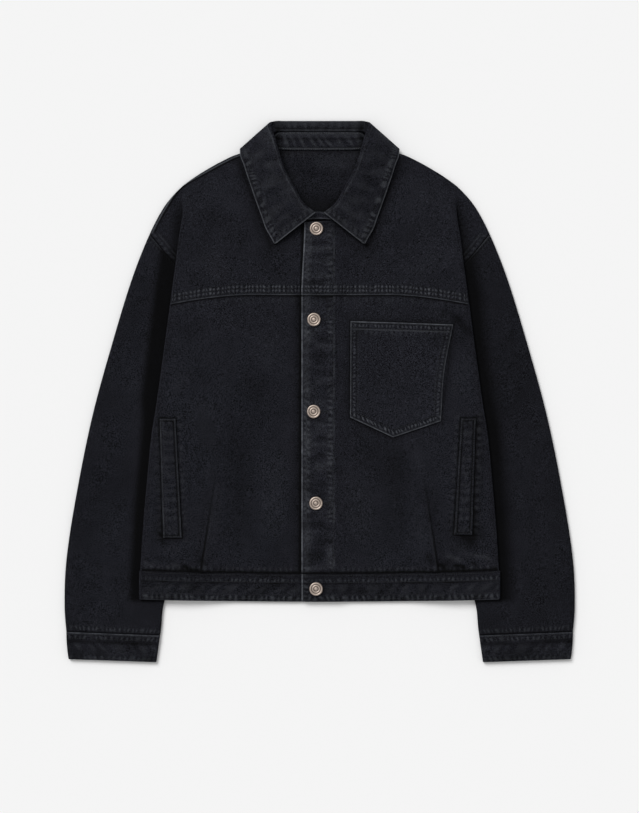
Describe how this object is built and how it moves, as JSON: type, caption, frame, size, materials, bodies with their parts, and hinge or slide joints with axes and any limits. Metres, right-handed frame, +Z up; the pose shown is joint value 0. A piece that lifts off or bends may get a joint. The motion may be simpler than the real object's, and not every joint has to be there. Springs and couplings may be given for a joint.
{
  "type": "denim jacket",
  "caption": "Black denim jacket laid flat and buttoned: pointed collar, front yokes, chest patch pocket, slanted welt pockets, cuffs and a waistband.",
  "frame": {"origin": "middle of the laid-out jacket's outline, on the surface it lies on", "axes": "+Z up from that surface, out of the front; +Y from the hem towards the collar; +X towards the wearer's left"},
  "size_m": [0.7142, 0.7576, 0.0178],
  "materials": {
    "black_denim": "matte washed black cotton twill",
    "button_metal": "antique dull grey-copper plating"
  },
  "bodies": {
    "root": {"back": "black_denim", "front_left": "black_denim", "front_right": "black_denim", "yoke_left": "black_denim", "yoke_right": "black_denim", "sleeve_left": "black_denim", "sleeve_right": "black_denim", "cuff_left": "black_denim", "cuff_right": "black_denim", "waistband": "black_denim", "collar_leaf": "black_denim", "collar_stand": "black_denim", "chest_pocket": "black_denim", "side_pocket_welt_right": "black_denim", "side_pocket_welt_left": "black_denim", "button_1": "button_metal", "button_2": "button_metal", "button_3": "button_metal", "button_4": "button_metal", "button_5": "button_metal"}
  },
  "joints": []
}
